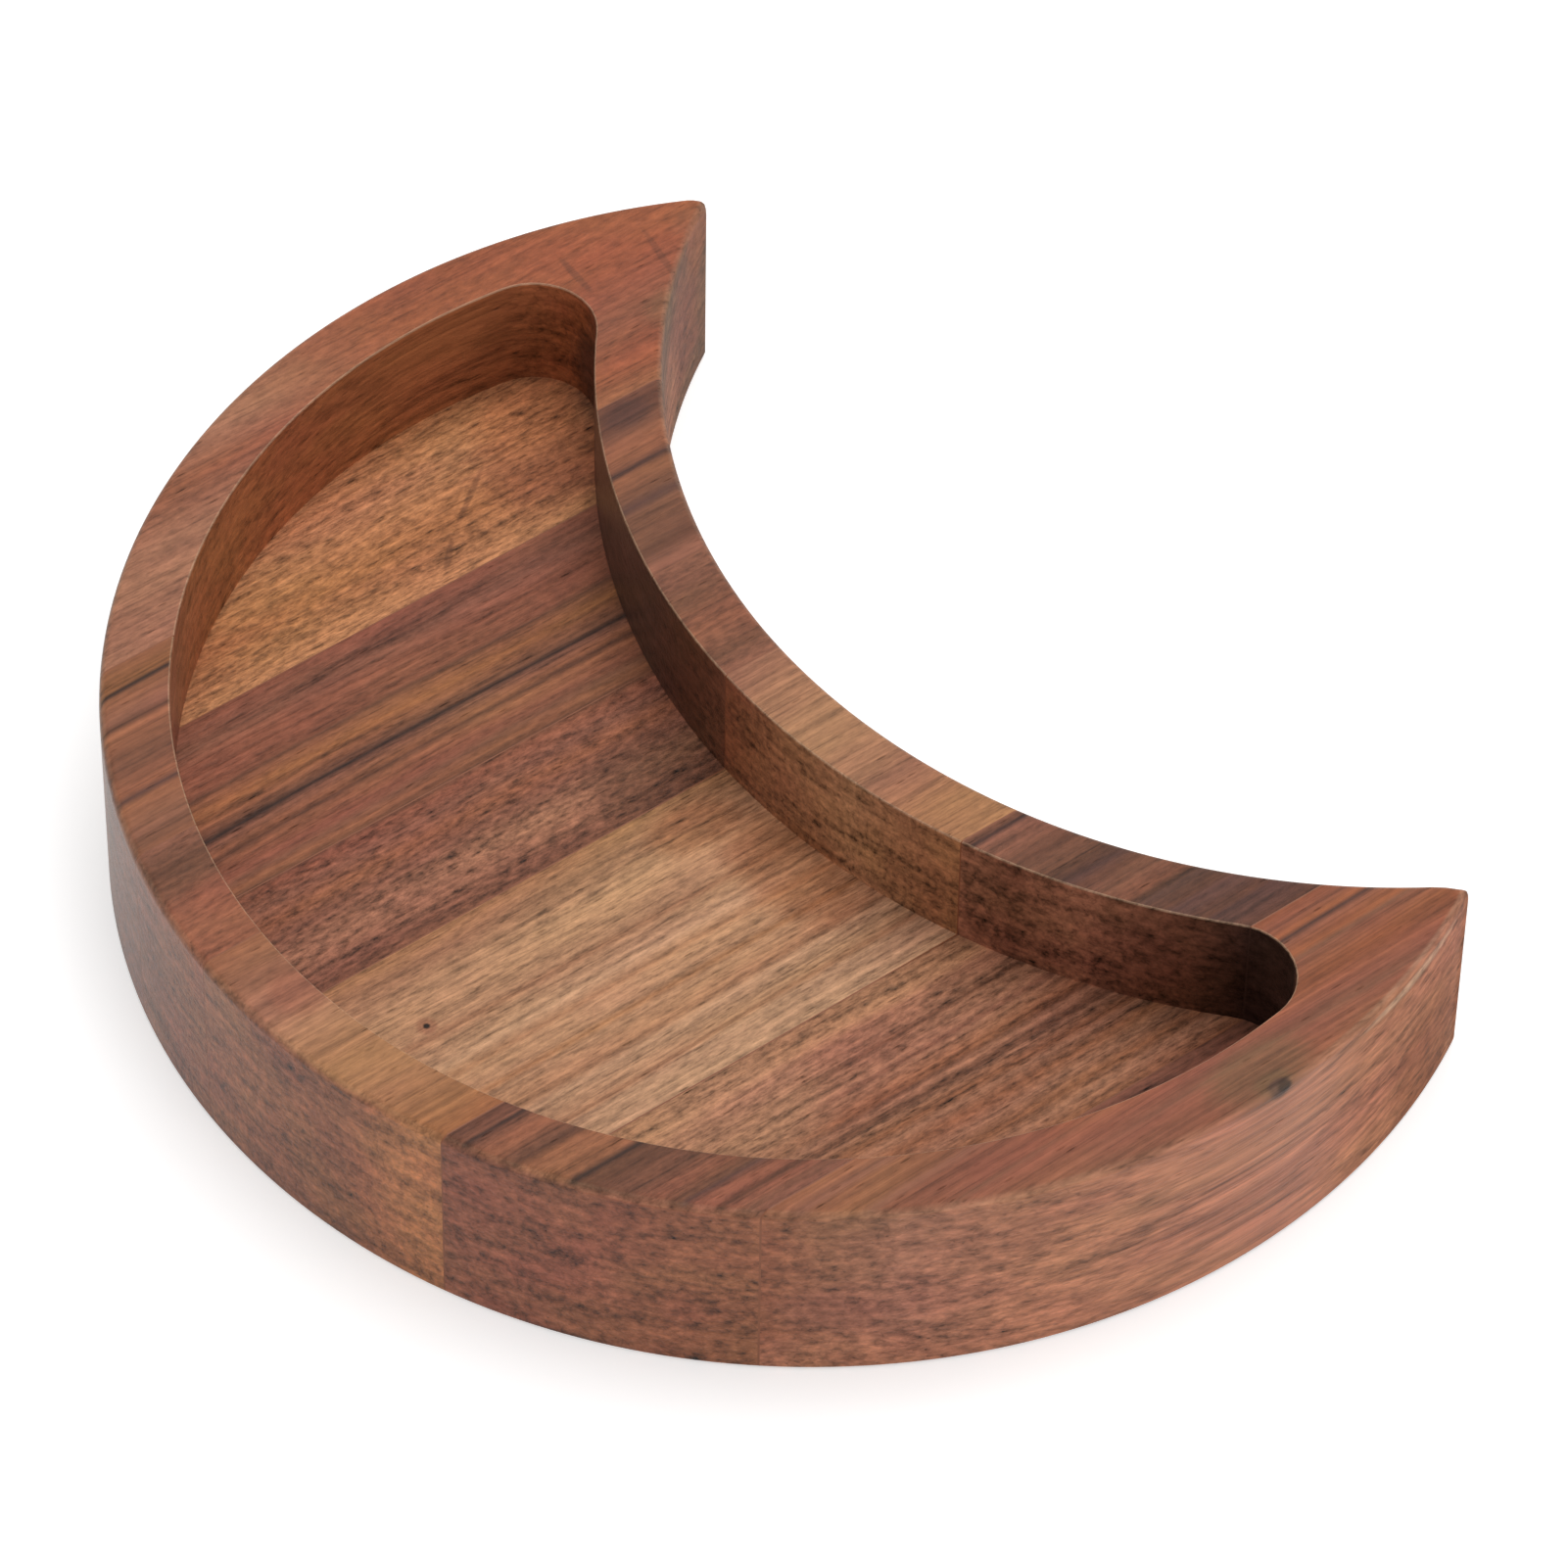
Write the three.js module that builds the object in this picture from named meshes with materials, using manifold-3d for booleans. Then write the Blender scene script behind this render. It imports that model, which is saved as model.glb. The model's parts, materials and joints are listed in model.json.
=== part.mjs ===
// A crescent-moon serving tray, routed from one panel of edge-glued hardwood staves.
// Millimetres, +Z up. X runs from tip to tip, and the grain runs along Y, towards the open side.
// The origin is the bottom centre of the tray's box.

import * as THREE from "three";
import { mergeVertices } from "three/addons/utils/BufferGeometryUtils.js";
import Module from "manifold-3d";

// Outline of the crescent, a disc with a round bite taken out of it
const OUTER_RADIUS = 100;
const BITE_RADIUS = 102;
const MIDDLE_WIDTH = 100.6;
const TIP_RADIUS = 0.6;
const SHARPEST_TIP = 0.3;

// Heights
const HEIGHT = 32.6;
const FLOOR_THICKNESS = 13.3;

// Pocket
const WALL = 10;
const POCKET_END_RADIUS = 9.3;

// Eased edges: the outside of the rim, the pocket's mouth, and round the underside
const RIM_EASE = 1.4;
const MOUTH_EASE = 0.4;
const UNDERSIDE_EASE = 0.6;

// Staves, counted from the pale one in the middle. The two tip staves take what is left.
const PALE_STAVE_LEFT_EDGE = -6.7;
const PALE_STAVE_WIDTH = 45.1;
const STREAKED_STAVE_WIDTH = 36.6;
const DARK_STAVE_WIDTH = 21.8;
const STRIPED_STAVE_WIDTH = 31.8;
const GLUE_LINE_THICKNESS = 0.2;

// Fineness of the round stretches
const DEGREES_PER_FACET = 2.5;
const TIP_FACETS = 6;
const POCKET_END_FACETS = 16;
const EASE_FACETS = 3;

// How far a cutting solid reaches past what it cuts
const CUT_MARGIN = 5;

const wasm = await Module();
wasm.setup();

// The bite's centre lies on the Y axis, seen from the centre of the outer circle
const BITE_CENTRE_Y = BITE_RADIUS + MIDDLE_WIDTH - OUTER_RADIUS;

// Number of facets on an arc of this many radians
function facets(angle) {
  return Math.max(2, Math.round(THREE.MathUtils.radToDeg(Math.abs(angle)) / DEGREES_PER_FACET));
}

// The round at each end of a crescent touches the outer arc from inside and the bite from outside
function endRound({ outer, bite, round }) {
  const fromOuter = outer - round;
  const fromBite = bite + round;
  const y = (fromOuter ** 2 - fromBite ** 2 + BITE_CENTRE_Y ** 2) / (2 * BITE_CENTRE_Y);
  const x = Math.sqrt(fromOuter ** 2 - y ** 2);
  return {
    centre: new THREE.Vector2(x, y),
    outerAngle: Math.atan2(y, x),
    biteAngle: Math.atan2(BITE_CENTRE_Y - y, -x),
  };
}

// A crescent drawn in by a distance, as points that run counter-clockwise from the right tip.
// The arcs keep their angles, so that all sections line up. A tip that would vanish stays as a very
// small round, further in.
function crescentOutline(crescent, inset, endFacets) {
  const outer = crescent.outer - inset;
  const bite = crescent.bite + inset;
  const round = Math.max(crescent.round - inset, SHARPEST_TIP);
  const { outerAngle, biteAngle } = endRound(crescent);
  const end = endRound({ outer, bite, round });
  const { x, y } = end.centre;
  const arc = (centreX, centreY, radius, from, to, steps, clockwise) => {
    const curve = new THREE.EllipseCurve(centreX, centreY, radius, radius, from, to, clockwise, 0);
    return curve.getPoints(steps);
  };
  const between = (points) => points.slice(1, -1);
  const biteFrom = biteAngle - Math.PI;
  const biteTo = -biteAngle;
  const biteSteps = facets(biteTo - biteFrom);
  const outerSteps = facets(Math.PI + 2 * outerAngle);
  return [
    ...arc(x, y, round, end.outerAngle, end.biteAngle, endFacets, false),
    ...between(arc(0, BITE_CENTRE_Y, bite, biteFrom, biteTo, biteSteps, true)),
    ...arc(-x, y, round, Math.PI - end.biteAngle, Math.PI - end.outerAngle, endFacets, false),
    ...between(arc(0, 0, outer, Math.PI - outerAngle, outerAngle, outerSteps, false)),
  ];
}

// A closed solid through outlines of equal length, given from the bottom up as { z, points }
function loft(sections) {
  const count = sections[0].points.length;
  const positions = sections.flatMap(({ z, points }) => points.flatMap((p) => [p.x, p.y, z]));
  const indices = [];
  const last = (sections.length - 1) * count;
  for (let level = 0; level < last; level += count) {
    for (let i = 0; i < count; i += 1) {
      const next = (i + 1) % count;
      indices.push(level + i, level + next, level + count + next);
      indices.push(level + i, level + count + next, level + count + i);
    }
  }
  for (const [a, b, c] of THREE.ShapeUtils.triangulateShape(sections[0].points, [])) {
    indices.push(c, b, a);
  }
  for (const [a, b, c] of THREE.ShapeUtils.triangulateShape(sections.at(-1).points, [])) {
    indices.push(last + a, last + b, last + c);
  }
  const geometry = new THREE.BufferGeometry();
  geometry.setAttribute("position", new THREE.Float32BufferAttribute(positions, 3));
  geometry.setIndex(indices);
  return geometry;
}

// Quarter-round steps as [share across, share along], from where it is furthest across
function quarterRound() {
  return Array.from({ length: EASE_FACETS + 1 }, (_, i) => {
    const angle = (i / EASE_FACETS) * (Math.PI / 2);
    return [1 - Math.sin(angle), 1 - Math.cos(angle)];
  });
}

// A three.js geometry as a solid that can be cut, and back again
function toSolid(geometry) {
  geometry.deleteAttribute("normal");
  geometry.deleteAttribute("uv");
  const merged = mergeVertices(geometry);
  const mesh = new wasm.Mesh({
    numProp: 3,
    vertProperties: new Float32Array(merged.attributes.position.array),
    triVerts: new Uint32Array(merged.index.array),
  });
  return new wasm.Manifold(mesh);
}

function toGeometry(solid) {
  const mesh = solid.getMesh();
  const geometry = new THREE.BufferGeometry();
  geometry.setAttribute("position", new THREE.BufferAttribute(mesh.vertProperties, 3));
  geometry.setIndex(new THREE.BufferAttribute(mesh.triVerts, 1));
  geometry.computeVertexNormals();
  return geometry;
}

// The blank: the crescent at full height, with its underside and rim edges eased
const TRAY = { outer: OUTER_RADIUS, bite: BITE_RADIUS, round: TIP_RADIUS };

function blank() {
  const section = (z, inset) => ({ z, points: crescentOutline(TRAY, inset, TIP_FACETS) });
  const underside = quarterRound().map(([across, along]) => {
    return section(UNDERSIDE_EASE * along, UNDERSIDE_EASE * across);
  });
  const rim = quarterRound().map(([across, along]) => {
    return section(HEIGHT - RIM_EASE * along, RIM_EASE * across);
  });
  return loft([...underside, ...rim.reverse()]);
}

// The pocket's cutter: a flat floor, plumb walls, and a mouth that rolls out over the rim
const POCKET = { outer: OUTER_RADIUS - WALL, bite: BITE_RADIUS + WALL, round: POCKET_END_RADIUS };

function pocketCutter() {
  const section = (z, inset) => ({ z, points: crescentOutline(POCKET, inset, POCKET_END_FACETS) });
  const floor = section(FLOOR_THICKNESS, 0);
  const mouth = quarterRound().map(([across, along]) => {
    return section(HEIGHT - MOUTH_EASE * along, -MOUTH_EASE * across);
  });
  const above = section(HEIGHT + CUT_MARGIN, -MOUTH_EASE);
  return loft([floor, ...mouth.reverse(), above]);
}

// A slab square to X that cuts one stave or glue line out of the tray
function slab(fromX, toX) {
  const reach = OUTER_RADIUS + BITE_RADIUS;
  const geometry = new THREE.BoxGeometry(1, 1, 1);
  const corners = geometry.attributes.position;
  for (let i = 0; i < corners.count; i += 1) {
    const x = corners.getX(i) < 0 ? fromX : toX;
    const y = Math.sign(corners.getY(i)) * reach;
    const z = corners.getZ(i) < 0 ? -CUT_MARGIN : HEIGHT + CUT_MARGIN;
    corners.setXYZ(i, x, y, z);
  }
  return toSolid(geometry);
}

// Seams between the staves, from left to right
const SEAMS = [
  PALE_STAVE_LEFT_EDGE - DARK_STAVE_WIDTH - STRIPED_STAVE_WIDTH,
  PALE_STAVE_LEFT_EDGE - DARK_STAVE_WIDTH,
  PALE_STAVE_LEFT_EDGE,
  PALE_STAVE_LEFT_EDGE + PALE_STAVE_WIDTH,
  PALE_STAVE_LEFT_EDGE + PALE_STAVE_WIDTH + STREAKED_STAVE_WIDTH,
];

// The staves from left to right, with the colour of their oiled wood
const STAVES = [
  { name: "left_tip_stave", colour: 0xa5704c },
  { name: "left_striped_stave", colour: 0x85563e },
  { name: "left_dark_stave", colour: 0x6f4733 },
  { name: "middle_pale_stave", colour: 0xa77a56 },
  { name: "right_streaked_stave", colour: 0x875640 },
  { name: "right_tip_stave", colour: 0x91604a },
];
const GLUE_COLOUR = 0x5a3a28;

const woodFinish = { roughness: 0.55, metalness: 0 };
const glueFinish = { roughness: 0.4, metalness: 0 };

const tray = new THREE.Group();
const routed = toSolid(blank()).subtract(toSolid(pocketCutter()));

function addPiece(name, fromX, toX, material) {
  const piece = new THREE.Mesh(toGeometry(routed.intersect(slab(fromX, toX))), material);
  piece.name = name;
  tray.add(piece);
}

const panelEdge = OUTER_RADIUS + CUT_MARGIN;
const halfGlue = GLUE_LINE_THICKNESS / 2;

STAVES.forEach(({ name, colour }, i) => {
  const fromX = i === 0 ? -panelEdge : SEAMS[i - 1] + halfGlue;
  const toX = i === SEAMS.length ? panelEdge : SEAMS[i] - halfGlue;
  addPiece(name, fromX, toX, new THREE.MeshStandardMaterial({ color: colour, ...woodFinish }));
});

SEAMS.forEach((seam, i) => {
  const material = new THREE.MeshStandardMaterial({ color: GLUE_COLOUR, ...glueFinish });
  addPiece(`glue_line_${i + 1}`, seam - halfGlue, seam + halfGlue, material);
});

// Centre the tray's box on the origin
const box = new THREE.Box3().setFromObject(tray);
tray.position.y = -(box.min.y + box.max.y) / 2;

export default tray;
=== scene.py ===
# %% [markdown]
# # A crescent tray of oiled hardwood
# The tray is routed from one panel of edge-glued staves. Its heights and seams come from the packed
# model, which is loaded first as a fixed frame. Every piece made here takes the place of one of its
# nodes, and the box that the frame fills is kept for the rim's height and the disc's centre.

# %% Load the frame
import json
import math

import bpy
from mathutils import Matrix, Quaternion, Vector

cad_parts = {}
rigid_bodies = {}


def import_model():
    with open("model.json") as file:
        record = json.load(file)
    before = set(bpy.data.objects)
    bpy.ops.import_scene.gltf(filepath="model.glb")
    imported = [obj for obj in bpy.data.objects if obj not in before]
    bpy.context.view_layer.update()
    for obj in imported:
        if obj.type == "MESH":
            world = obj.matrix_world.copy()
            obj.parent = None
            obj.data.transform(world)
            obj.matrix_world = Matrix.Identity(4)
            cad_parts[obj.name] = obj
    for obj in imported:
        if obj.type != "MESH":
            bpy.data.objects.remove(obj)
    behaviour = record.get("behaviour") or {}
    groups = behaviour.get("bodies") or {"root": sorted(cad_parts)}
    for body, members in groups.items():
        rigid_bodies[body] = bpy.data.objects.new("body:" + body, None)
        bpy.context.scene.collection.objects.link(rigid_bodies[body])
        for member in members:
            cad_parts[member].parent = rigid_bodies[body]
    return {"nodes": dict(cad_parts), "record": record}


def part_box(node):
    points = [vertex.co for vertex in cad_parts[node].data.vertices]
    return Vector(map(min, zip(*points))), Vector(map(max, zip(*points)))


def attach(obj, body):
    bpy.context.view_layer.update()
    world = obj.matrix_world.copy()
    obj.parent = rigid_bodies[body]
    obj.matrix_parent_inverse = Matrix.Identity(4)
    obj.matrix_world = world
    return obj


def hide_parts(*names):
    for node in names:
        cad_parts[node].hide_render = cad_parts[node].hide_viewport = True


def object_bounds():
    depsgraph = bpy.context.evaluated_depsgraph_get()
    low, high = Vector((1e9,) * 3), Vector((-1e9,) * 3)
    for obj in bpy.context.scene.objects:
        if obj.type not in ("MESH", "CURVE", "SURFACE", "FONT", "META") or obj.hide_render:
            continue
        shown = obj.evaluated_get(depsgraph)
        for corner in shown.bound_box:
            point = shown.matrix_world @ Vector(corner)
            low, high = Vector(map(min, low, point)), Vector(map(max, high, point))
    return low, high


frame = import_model()
cad_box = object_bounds()
MM = 0.001
print("frame nodes:", ", ".join(sorted(frame["nodes"])))

# %% [markdown]
# ## Camera
# The tray was photographed through a long lens, from above its right front. A long lens far away
# keeps the far tip almost as large as the near one, which a short lens close by would not.

# %% Camera
CAMERA_LENS_MM = 200
CAMERA_DISTANCE = 1263.6 * MM
CAMERA_AZIMUTH = math.radians(51.38)
CAMERA_ELEVATION = math.radians(47.05)
CAMERA_ROLL = math.radians(1.08)
CAMERA_TARGET = Vector((-8.84, 29.05, 0)) * MM

bpy.ops.object.camera_add()
camera = bpy.context.object
camera.data.lens = CAMERA_LENS_MM
camera_back = Vector((
    math.sin(CAMERA_AZIMUTH) * math.cos(CAMERA_ELEVATION),
    -math.cos(CAMERA_AZIMUTH) * math.cos(CAMERA_ELEVATION),
    math.sin(CAMERA_ELEVATION),
))
camera.location = CAMERA_TARGET + camera_back * CAMERA_DISTANCE
camera.rotation_mode = "QUATERNION"
camera.rotation_quaternion = camera_back.to_track_quat("Z", "Y") @ Quaternion((0, 0, 1), CAMERA_ROLL)
bpy.context.scene.camera = camera
print("camera at", [round(c, 3) for c in camera.location])

# %% [markdown]
# ## The crescent's sizes
# The outline is a disc with a round bite taken out of it, and the pocket is the same figure drawn in
# by the width of the wall, with fuller rounds at its ends. Heights and seams are read from the frame.

# %% Sizes
OUTER_RADIUS = 100 * MM
BITE_RADIUS = 102 * MM
MIDDLE_WIDTH = 100.6 * MM
TIP_RADIUS = 0.6 * MM
SHARPEST_TIP = 0.3 * MM
WALL = 10 * MM
POCKET_END_RADIUS = 9.3 * MM

RIM_Z = cad_box[1].z
mounts = {mount["name"]: mount for mount in frame["record"]["mounts"]}
FLOOR_Z = mounts["pocket_floor"]["pos_m"][2]
CENTRE_Y = cad_box[0].y + OUTER_RADIUS
BITE_Y = BITE_RADIUS + MIDDLE_WIDTH - OUTER_RADIUS
print("rim at", round(RIM_Z, 4), "floor at", round(FLOOR_Z, 4), "disc centre y", round(CENTRE_Y, 4))

# %% [markdown]
# ## Drawing the outline
# A curve object could hold the outline, but arcs drawn by spinning one vertex give every ring of the
# tray the same number of points, so that any two rings can be bridged with clean four-sided faces.
# With no window, a positive spin turns clockwise.

# %% Outline by four spins
OUTER_STEPS = 180
BITE_STEPS = 90
END_STEPS = 14
TOLERANCE = 0.01 * MM


def spin(centre, sweep, steps):
    """Carries the selected vertex round a centre, counter-clockwise for a positive sweep."""
    bpy.ops.mesh.spin(steps=steps, angle=-sweep, center=centre, axis=(0, 0, 1))


def draw_crescent(outer, bite, end_radius, z):
    """Draws a closed crescent of edges in the mesh that is being edited, and leaves it selected."""
    from_outer = outer - end_radius
    from_bite = bite + end_radius
    end_y = (from_outer**2 - from_bite**2 + BITE_Y**2) / (2 * BITE_Y)
    end_x = math.sqrt(from_outer**2 - end_y**2)
    outer_lean = math.atan2(end_y, end_x)
    bite_lean = math.atan2(BITE_Y - end_y, end_x)
    end_sweep = math.pi - outer_lean - bite_lean
    centre = Vector((0, CENTRE_Y, z))
    start = centre + outer * Vector((math.cos(outer_lean), math.sin(outer_lean), 0))
    bpy.ops.mesh.primitive_plane_add(size=MM, location=start)
    bpy.ops.mesh.merge(type="CENTER")
    spin(centre + Vector((end_x, end_y, 0)), end_sweep, END_STEPS)
    spin(centre + Vector((0, BITE_Y, 0)), 2 * bite_lean - math.pi, BITE_STEPS)
    spin(centre + Vector((-end_x, end_y, 0)), end_sweep, END_STEPS)
    spin(centre, math.pi + 2 * outer_lean, OUTER_STEPS)
    bpy.ops.mesh.select_linked()
    bpy.ops.mesh.remove_doubles(threshold=TOLERANCE)


print("points in each ring:", OUTER_STEPS + BITE_STEPS + 2 * END_STEPS)

# %% [markdown]
# ## Routing the tray
# The tray could be extruded from its outline and then bevelled, but a bevel wider than the round of
# the tips folds over itself there. So it is built as a stack of rings instead: up the outside with
# its eased edges, over the rim, and down the pocket's wall. This cell lists the rings.

# %% Rings of the tray
RIM_EASE = 1.4 * MM
MOUTH_EASE = 0.4 * MM
UNDERSIDE_EASE = 0.6 * MM
EASE_STEPS = 5


def quarter_round(radius):
    """Steps of an eased edge, as how far in and how far along, from the flat side to the wall."""
    angles = [math.pi / 2 * step / EASE_STEPS for step in range(EASE_STEPS + 1)]
    return [(radius * (1 - math.sin(a)), radius * (1 - math.cos(a))) for a in angles]


def outside_ring(inset, z):
    """The tray's outline, drawn in by a distance."""
    tip = max(TIP_RADIUS - inset, SHARPEST_TIP)
    draw_crescent(OUTER_RADIUS - inset, BITE_RADIUS + inset, tip, z)


def pocket_ring(outset, z):
    """The pocket's outline, let out by a distance."""
    end = POCKET_END_RADIUS + outset
    draw_crescent(OUTER_RADIUS - WALL + outset, BITE_RADIUS + WALL - outset, end, z)


underside_rings = quarter_round(UNDERSIDE_EASE)
rim_rings = [(inset, RIM_Z - along) for inset, along in reversed(quarter_round(RIM_EASE))]
mouth_rings = [(outset, RIM_Z - along) for outset, along in quarter_round(MOUTH_EASE)]
print("rings:", len(underside_rings + rim_rings), "outside,", len(mouth_rings) + 1, "in the pocket")

# %% [markdown]
# ## Joining the rings
# Each ring is drawn in the same mesh and bridged to the one before it, so the only open edges are
# always the two that have to meet. The underside, the rim and the floor are flat, so those are
# simply filled.

# %% Tray in one piece
def select_open_edges():
    """Selects the ring that was drawn last, and the one that it has to join."""
    bpy.ops.mesh.select_all(action="DESELECT")
    bpy.ops.mesh.select_non_manifold(use_multi_face=False, use_non_contiguous=False, use_verts=False)


def build_up(draw_ring, rings):
    """Draws ring after ring and bridges each to the one before it."""
    for offset, z in rings:
        draw_ring(offset, z)
        select_open_edges()
        bpy.ops.mesh.bridge_edge_loops()


bpy.ops.object.select_all(action="DESELECT")
bpy.ops.mesh.primitive_plane_add(size=MM)
tray = bpy.context.object
tray.name = "routed_tray"
bpy.ops.object.mode_set(mode="EDIT")
bpy.ops.mesh.delete(type="VERT")
outside_ring(*underside_rings[0])
bpy.ops.mesh.edge_face_add()
build_up(outside_ring, underside_rings[1:] + rim_rings)
pocket_ring(*mouth_rings[0])
select_open_edges()
bpy.ops.mesh.fill()
build_up(pocket_ring, mouth_rings[1:] + [(0, FLOOR_Z)])
select_open_edges()
bpy.ops.mesh.edge_face_add()
bpy.ops.mesh.select_all(action="SELECT")
bpy.ops.mesh.normals_make_consistent(inside=False)
bpy.ops.object.mode_set(mode="OBJECT")
print("routed tray:", len(tray.data.polygons), "faces")

# %% [markdown]
# ## The worn tips
# The machined outline is crisp all round, but on the real tray the upper corners of the tips are worn,
# the left one rounder than the right. A bevel would eat into both sides of a thin tip. So a few cuts
# across it give the mesh points to bend at, and the corner is pushed down with a fall-off around it,
# as a sanding block does.

# %% Worn tips
TIP_STRETCH = 5 * MM
TIP_CUTS_MM = (0.3, 0.7, 1.2, 1.8, 2.6)
TIP_CORNER_REACH = 0.9 * MM
CORNER_Z = RIM_Z - RIM_EASE
CUT_THRESHOLD = 0.0001 * MM
LEFT_WEAR, LEFT_WEAR_REACH = 2.2 * MM, 2.5 * MM
RIGHT_WEAR, RIGHT_WEAR_REACH = 1.6 * MM, 4.5 * MM


def near_tip(place, tip):
    """True close to a tip, at any height."""
    return place.x * tip.x > 0 and place.y > tip.y - TIP_STRETCH


def on_corner(place, tip):
    """True where a tip's upright edge ends below the rim."""
    level = abs(place.z - CORNER_Z) < TOLERANCE
    return level and (place.xy - tip.xy).length < TIP_CORNER_REACH


def select_vertices(wanted, tip):
    """Selects the tray's vertices whose place passes a test, and goes to edit mode."""
    bpy.ops.object.mode_set(mode="EDIT")
    bpy.ops.mesh.select_mode(type="VERT")
    bpy.ops.mesh.select_all(action="DESELECT")
    bpy.ops.object.mode_set(mode="OBJECT")
    for vertex in tray.data.vertices:
        vertex.select = wanted(vertex.co, tip)
    bpy.ops.object.mode_set(mode="EDIT")


def wear_tip(side, wear, reach):
    """Rounds the upper corner of the tip on one side, -1 for left and 1 for right."""
    places = [vertex.co.copy() for vertex in tray.data.vertices if vertex.co.x * side > 0]
    tip = max(places, key=lambda place: place.y)
    for cut in TIP_CUTS_MM:
        select_vertices(near_tip, tip)
        bpy.ops.mesh.bisect(
            plane_co=(0, tip.y - cut * MM, 0), plane_no=(0, 1, 0), threshold=CUT_THRESHOLD,
        )
    select_vertices(on_corner, tip)
    bpy.ops.transform.translate(
        value=(0, 0, -wear), use_proportional_edit=True,
        proportional_edit_falloff="SHARP", proportional_size=reach,
    )
    bpy.ops.object.mode_set(mode="OBJECT")
    print("tip at", [round(c, 4) for c in tip], "worn by", round(wear, 4))


wear_tip(-1, LEFT_WEAR, LEFT_WEAR_REACH)
wear_tip(1, RIGHT_WEAR, RIGHT_WEAR_REACH)

# %% [markdown]
# ## Sawing it into staves and glue lines
# On the bench the staves are glued first and routed after, so their curved faces run on from one to
# the next. Cutting the finished tray at the seams gives the same. Each copy is bisected at one seam
# or two, and the glue lines are the thin slices that are left between.

# %% Staves and glue lines
STAVES = (
    "left_tip_stave",
    "left_striped_stave",
    "left_dark_stave",
    "middle_pale_stave",
    "right_streaked_stave",
    "right_tip_stave",
)
GLUE_LINES = tuple(f"glue_line_{i}" for i in range(1, len(STAVES)))
SMOOTH_ANGLE = math.radians(40)


def saw(x, keep_right):
    """Cuts the mesh that is being edited at x, keeps one side of it and closes the cut."""
    bpy.ops.mesh.select_all(action="SELECT")
    bpy.ops.mesh.bisect(
        plane_co=(x, 0, 0), plane_no=(1, 0, 0), use_fill=True, threshold=CUT_THRESHOLD,
        clear_inner=keep_right, clear_outer=not keep_right,
    )


def slice_of_tray(node, from_x, to_x):
    """Makes the finished piece that stands for a node, between two seams. None is the open end."""
    bpy.ops.object.select_all(action="DESELECT")
    tray.select_set(True)
    bpy.context.view_layer.objects.active = tray
    bpy.ops.object.duplicate()
    piece = bpy.context.object
    piece.name = f"{node}_finished"
    bpy.ops.object.mode_set(mode="EDIT")
    if from_x is not None:
        saw(from_x, keep_right=True)
    if to_x is not None:
        saw(to_x, keep_right=False)
    bpy.ops.object.mode_set(mode="OBJECT")
    bpy.ops.object.shade_smooth_by_angle(angle=SMOOTH_ANGLE)
    weighted = piece.modifiers.new("flat faces stay flat", "WEIGHTED_NORMAL")
    weighted.keep_sharp = True
    bpy.ops.object.modifier_apply(modifier=weighted.name)
    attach(piece, "root")
    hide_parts(node)
    return piece


glue_boxes = [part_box(node) for node in GLUE_LINES]
left_sides = [None] + [high.x for low, high in glue_boxes]
right_sides = [low.x for low, high in glue_boxes] + [None]
pieces = {}
for node, from_x, to_x in zip(STAVES, left_sides, right_sides):
    pieces[node] = slice_of_tray(node, from_x, to_x)
for node, (low, high) in zip(GLUE_LINES, glue_boxes):
    pieces[node] = slice_of_tray(node, low.x, high.x)
bpy.data.objects.remove(tray)
print({node: len(piece.data.polygons) for node, piece in pieces.items()})

# %% [markdown]
# ## Helpers for node materials
# A wood figure needs several dozen nodes. A few small helpers keep that readable: one adds a node and
# fills or links its inputs, and the others do a sum, an eased step, a mix of colours and a noise.

# %% Node helpers
def empty_tree(holder):
    """Gives a material or a world a node tree with nothing in it."""
    holder.use_nodes = True
    holder.node_tree.nodes.clear()
    return holder.node_tree


def add_node(tree, kind, inputs=None, **settings):
    """Adds a node, sets its options, and fills or links its inputs by name or number."""
    made = tree.nodes.new(kind)
    for option, value in settings.items():
        setattr(made, option, value)
    for key, value in (inputs or {}).items():
        if isinstance(value, bpy.types.NodeSocket):
            tree.links.new(value, made.inputs[key])
        else:
            made.inputs[key].default_value = value
    return made


def calc(tree, operation, *values):
    """One Math node, as a socket."""
    return add_node(tree, "ShaderNodeMath", dict(enumerate(values)), operation=operation).outputs[0]


def times(tree, first, second):
    """The product of two values."""
    return calc(tree, "MULTIPLY", first, second)


def add_share(tree, value, share, total):
    """Adds a share of a value to a running total."""
    return calc(tree, "MULTIPLY_ADD", value, share, total)


def ease_step(tree, value, low, high, to_low=0.0, to_high=1.0):
    """Eases from one value to another while the input goes from low to high."""
    ends = {"Value": value, "From Min": low, "From Max": high, "To Min": to_low, "To Max": to_high}
    return add_node(tree, "ShaderNodeMapRange", ends, interpolation_type="SMOOTHSTEP").outputs[0]


def blend(tree, factor, first, second):
    """Mixes two colours."""
    sockets = {0: factor, 6: first, 7: second}
    return add_node(tree, "ShaderNodeMix", sockets, data_type="RGBA").outputs[2]


def noise(tree, place, across, along, detail=2.0, rough=0.5, shift=0.0, up=None):
    """Noise from 0 to 1 whose blobs are this many millimetres across and along the grain, and up."""
    scale = (1 / across, 1 / along, 1 / (up or across))
    stretch = {"Vector": place, "Scale": scale, "Location": (shift,) * 3}
    moved = add_node(tree, "ShaderNodeMapping", stretch).outputs[0]
    inputs = {"Vector": moved, "Scale": 1.0, "Detail": detail, "Roughness": rough}
    return add_node(tree, "ShaderNodeTexNoise", inputs).outputs[0]


def add_noise(tree, amount, strength, total):
    """Adds noise to a running total, half of it above and half below."""
    return add_share(tree, calc(tree, "SUBTRACT", amount, 0.5), strength, total)


print("node helpers ready")

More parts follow.
